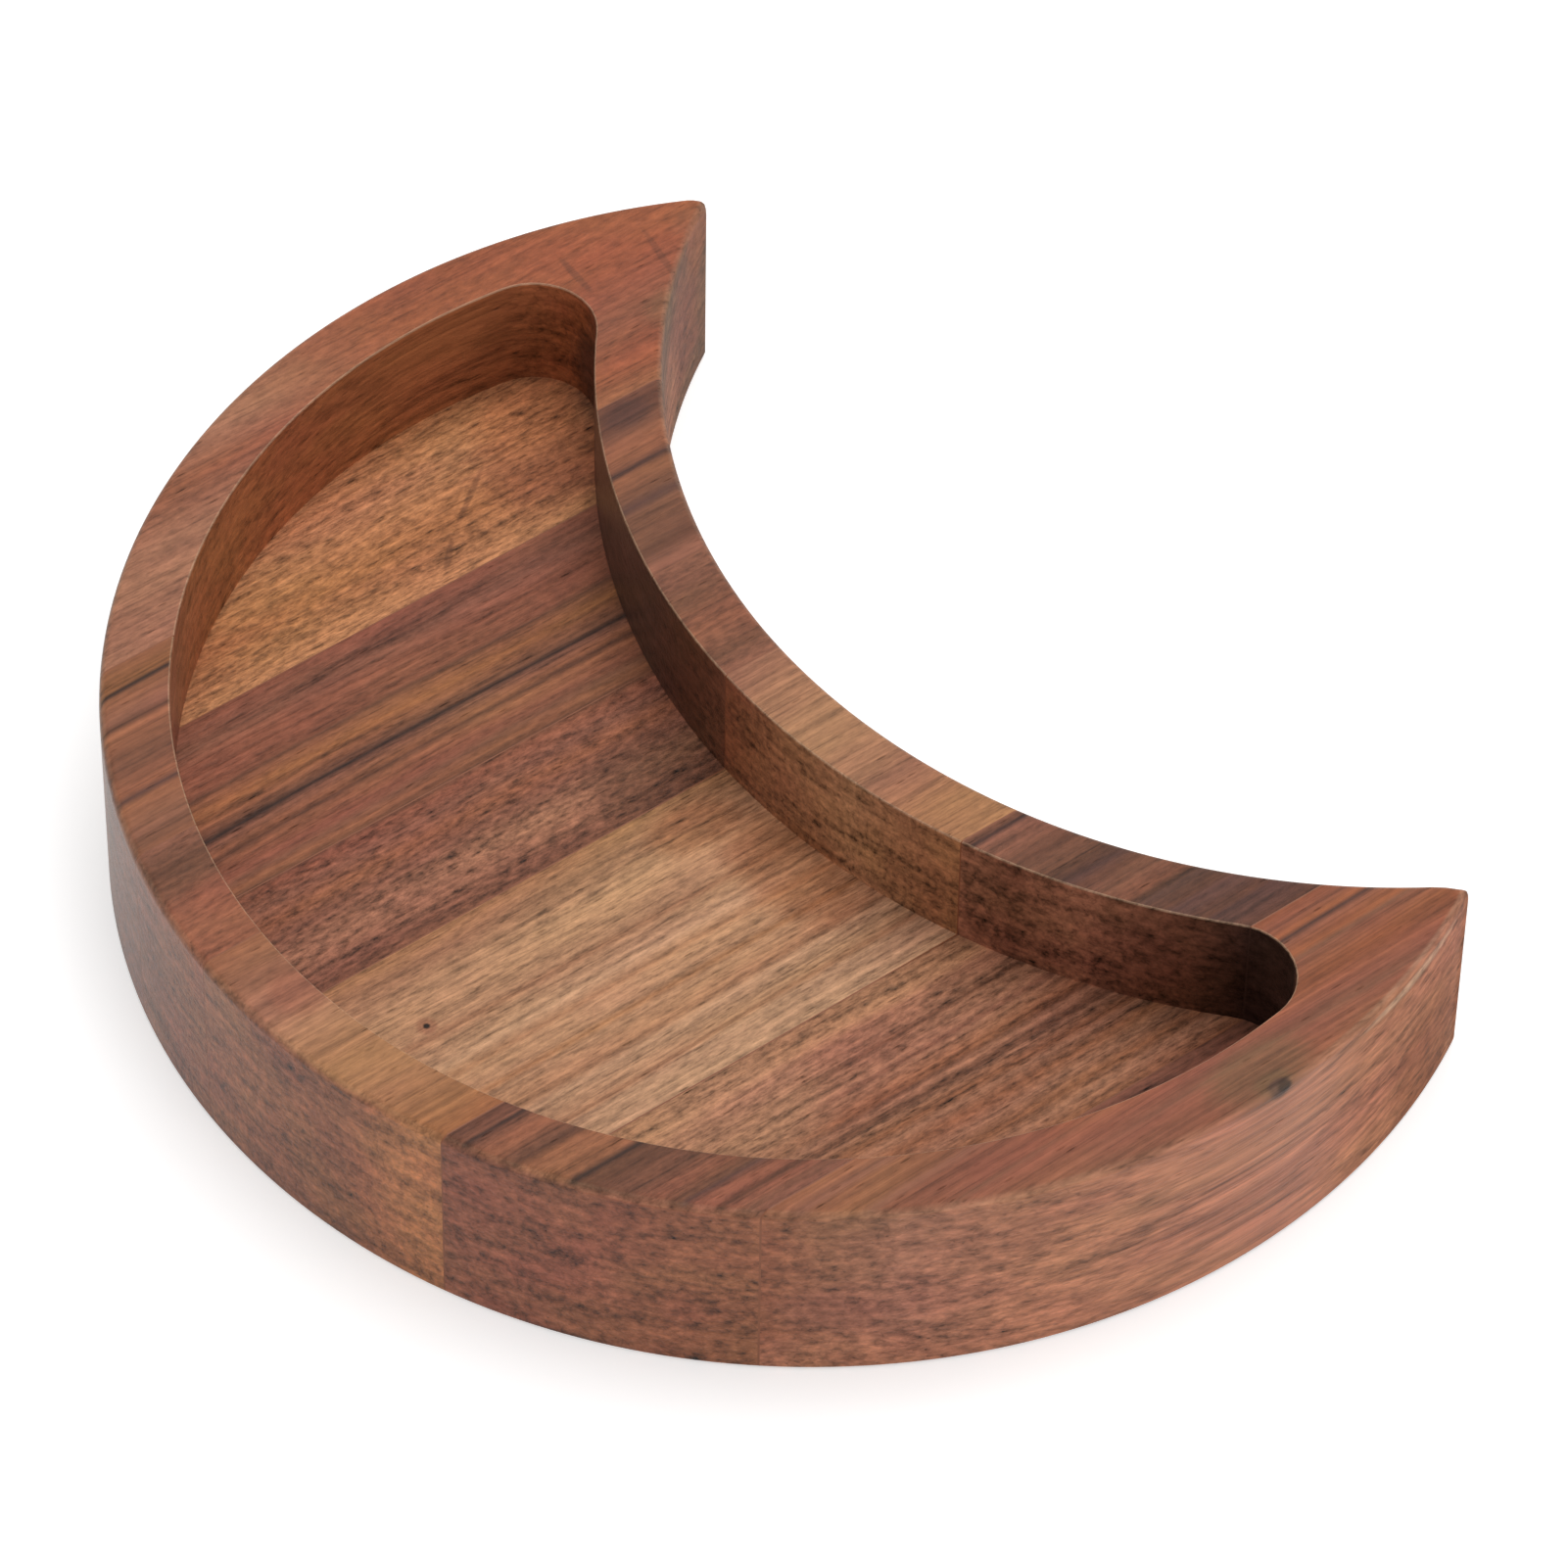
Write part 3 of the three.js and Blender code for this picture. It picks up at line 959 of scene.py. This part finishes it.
def wood_colour(tree, node, straight, place, face, grain, light):
    """The tone of a stave with its marks, and paler eased edges of wear and painted highlight, lit and
    darkened by its grain.
    """
    wobble = times(tree, calc(tree, "ADD", grain["blotch"], grain["stroke"]), 0.5)
    tone = marked(tree, node, straight, wobble, stave_tone(tree, node, place, face))
    # Paler eased edges, partly wear and partly painted highlight; on the right tip's edge, painted
    # highlight only.
    worn = times(tree, face["eased_edge"], add_share(tree, face["pocket"], MOUTH_WEAR_AND_HIGHLIGHT, EDGE_WEAR_AND_HIGHLIGHT))
    worn = add_share(tree, times(tree, face["edge_line"], face["right_tip"]), TIP_EDGE_HIGHLIGHT, worn)
    shaded = {
        "Hue": add_noise(tree, grain["blotch"], HUE_SWAY, 0.5),
        "Saturation": WOOD_SATURATION,
        "Value": light,
        "Color": blend(tree, worn, tone, TONES["worn"]),
    }
    return add_node(tree, "ShaderNodeHueSaturation", shaded).outputs[0]


def wood_roughness(tree, face, grain):
    """Duller on level faces, on the bite's wall, on the right tip, and in pores."""
    dullness = (
        (face["flat"], 0.25),
        (face["bite_wall"], 0.35),
        (times(tree, face["right_tip"], face["upright"]), 0.4),
        (grain["pore"], 0.2),
        (grain["stroke"], 0.25),
    )
    roughness = SHINIEST
    for share, rise in dullness:
        roughness = add_share(tree, share, rise, roughness)
    return roughness


def oiled_wood(node, seed):
    """The material of one stave."""
    material = bpy.data.materials.new(f"{node}_oiled_wood")
    tree = empty_tree(material)
    coords = add_node(tree, "ShaderNodeTexCoord")
    straight = millimetres(tree, coords)
    x, y, z = add_node(tree, "ShaderNodeSeparateXYZ", {0: straight}).outputs
    swayed = {0: drifted(tree, straight, x, seed), 1: y, 2: z}
    place = add_node(tree, "ShaderNodeCombineXYZ", swayed).outputs[0]
    face = kinds_of_face(tree, coords.outputs["Normal"], x, y)
    grain = grain_noises(tree, node, place, seed)
    lively = ease_step(tree, z, *FLOOR_TO_RIM, 1.0, LIVELY_ON_RIM)
    curl = fleck_strength(tree, node, face, lively)
    light = brightness(tree, node, face, grain, lively, curl)
    shader = add_node(tree, "ShaderNodeBsdfPrincipled", {
        "Base Color": wood_colour(tree, node, straight, place, face, grain, light),
        "Roughness": wood_roughness(tree, face, grain),
        "Normal": fibre_relief(tree, face, grain, curl),
        "Specular IOR Level": WOOD_SPECULAR,
    })
    add_node(tree, "ShaderNodeOutputMaterial", {"Surface": shader.outputs[0]})
    return material


def finish_piece(node, material):
    """Gives a piece its material."""
    piece = pieces[node]
    piece.data.materials.clear()
    piece.data.materials.append(material)


for number, node in enumerate(STAVES):
    finish_piece(node, oiled_wood(node, seed=SEED_STEP * number))
print("oiled", len(STAVES), "staves")

# %% [markdown]
# ## Glue lines
# Cured wood glue sanded flush takes the oil and hardly shows: a hair-thin line between the tones of
# the staves. A black line would look drawn on, so the film is a mottled brown. On the pocket's wall
# along the bite, away from the middle, it is darkened to bark and ink as painted shade.

# %% Glue material
GLUE_MOTTLE_MM = (1.5, 6)
GLUE_ROUGHNESS = 0.35
GLUE_ROUGHNESS_SWAY = 0.2
GLUE_SPECULAR = 0.3
# Painted shade on the glue along the bite grows from this span around the middle, from bark to ink.
UNSHADED_MIDDLE_X = 15.0
SHADE_OFF_MIDDLE = (25, 42)
BARK_TO_INK_X = (40, 70)


def cured_glue():
    """Brown film with a faint mottle, darkened on the pocket's wall along the bite as painted shade."""
    material = bpy.data.materials.new("cured_glue")
    tree = empty_tree(material)
    coords = add_node(tree, "ShaderNodeTexCoord")
    place = millimetres(tree, coords)
    x, y = add_node(tree, "ShaderNodeSeparateXYZ", {0: place}).outputs[:2]
    level = add_node(tree, "ShaderNodeSeparateXYZ", {0: coords.outputs["Normal"]}).outputs[2]
    # Painted shade: the glue on the pocket's upright wall along the bite, away from the middle.
    painted_shade_share = ease_step(tree, calc(tree, "ABSOLUTE", level), *FLAT_LEVEL, 1.0, 0.0)
    off_middle = calc(tree, "ABSOLUTE", calc(tree, "SUBTRACT", x, UNSHADED_MIDDLE_X))
    painted_shade_share = times(tree, painted_shade_share, ease_step(tree, off_middle, *SHADE_OFF_MIDDLE))
    painted_shade_share = times(tree, painted_shade_share, ease_step(tree, y, *ARC_TO_BITE_IN_POCKET))
    painted_shade_share = times(tree, painted_shade_share, inside_pocket(tree, x, y))
    painted_shade_tone = blend(tree, ease_step(tree, x, *BARK_TO_INK_X), TONES["bark"], TONES["ink"])
    mottle = noise(tree, place, *GLUE_MOTTLE_MM, detail=3.0)
    film = blend(tree, mottle, TONES["rust"], TONES["umber"])
    shader = add_node(tree, "ShaderNodeBsdfPrincipled", {
        "Base Color": blend(tree, painted_shade_share, film, painted_shade_tone),
        "Roughness": add_share(tree, mottle, GLUE_ROUGHNESS_SWAY, GLUE_ROUGHNESS),
        "Specular IOR Level": GLUE_SPECULAR,
    })
    add_node(tree, "ShaderNodeOutputMaterial", {"Surface": shader.outputs[0]})
    return material


glue = cured_glue()
for node in GLUE_LINES:
    finish_piece(node, glue)
print("glued", len(GLUE_LINES), "seams")

# %% [markdown]
# ## Floor
# The photograph is a plain product shot, white all round. A lamp strong enough to make a floor white
# would bleach the wood. So the floor is a pale matt plane with a little glow of its own, which shows to
# the camera and in reflections but lights nothing, and it keeps the tray's soft shadow.

# %% Floor
FLOOR_SIZE = 6.0
FLOOR_DROP = 0.2 * MM
FLOOR_WHITE = (0.8, 0.8, 0.8, 1)
FLOOR_GLOW = 0.5


def seen_directly(tree):
    """One for what the camera sees, straight, in a gloss or through glass, and nought for the light."""
    rays = add_node(tree, "ShaderNodeLightPath").outputs
    seen = calc(tree, "MAXIMUM", rays["Is Camera Ray"], rays["Is Glossy Ray"])
    return calc(tree, "MAXIMUM", seen, rays["Is Transmission Ray"])


def pale_floor():
    """White floor that the camera sees almost as bright as the background, with a soft shadow."""
    material = bpy.data.materials.new("pale_floor")
    tree = empty_tree(material)
    matt = add_node(tree, "ShaderNodeBsdfDiffuse", {"Color": FLOOR_WHITE})
    strength = times(tree, seen_directly(tree), FLOOR_GLOW)
    glow = add_node(tree, "ShaderNodeEmission", {"Strength": strength})
    both = add_node(tree, "ShaderNodeAddShader", {0: matt.outputs[0], 1: glow.outputs[0]})
    add_node(tree, "ShaderNodeOutputMaterial", {"Surface": both.outputs[0]})
    return material


bpy.ops.mesh.primitive_plane_add(size=FLOOR_SIZE, location=(0, 0, -FLOOR_DROP))
floor = bpy.context.object
floor.name = "floor"
floor.data.materials.append(pale_floor())
print("floor", FLOOR_SIZE, "m wide")

# %% [markdown]
# ## Light and background
# The light is soft, from above and from behind on the left, so the pocket's walls lie in shade, with
# a weaker fill from the right. A picture of a studio could light the scene, but two square lamps and a
# white world are plainer and need no file.

# %% World and lamps
WORLD_LIGHT = 0.42
LAMPS = {  # place and size in metres, power in watts
    "key": ((-0.15, 0.4, 1.5), 1.2, 14.5),
    "fill": ((1.5, -0.2, 0.5), 0.8, 5),
}


def white_world():
    """White to the camera and in reflections, and a softer even light on the object."""
    world = bpy.data.worlds.new("white_studio")
    tree = empty_tree(world)
    strength = add_share(tree, seen_directly(tree), 1 - WORLD_LIGHT, WORLD_LIGHT)
    sky = add_node(tree, "ShaderNodeBackground", {"Color": (1, 1, 1, 1), "Strength": strength})
    add_node(tree, "ShaderNodeOutputWorld", {"Surface": sky.outputs[0]})
    bpy.context.scene.world = world


def softbox(name, location, size, watts):
    """A square lamp that looks at the tray."""
    bpy.ops.object.light_add(type="AREA", location=location)
    lamp = bpy.context.object
    lamp.name = name
    lamp.data.shape = "SQUARE"
    lamp.data.size = size
    lamp.data.energy = watts
    lamp.rotation_mode = "QUATERNION"
    lamp.rotation_quaternion = Vector(location).to_track_quat("Z", "Y")


white_world()
for name, (location, size, watts) in LAMPS.items():
    softbox(name, location, size, watts)
bpy.context.scene.view_settings.view_transform = "Standard"
print("lamps:", ", ".join(LAMPS))
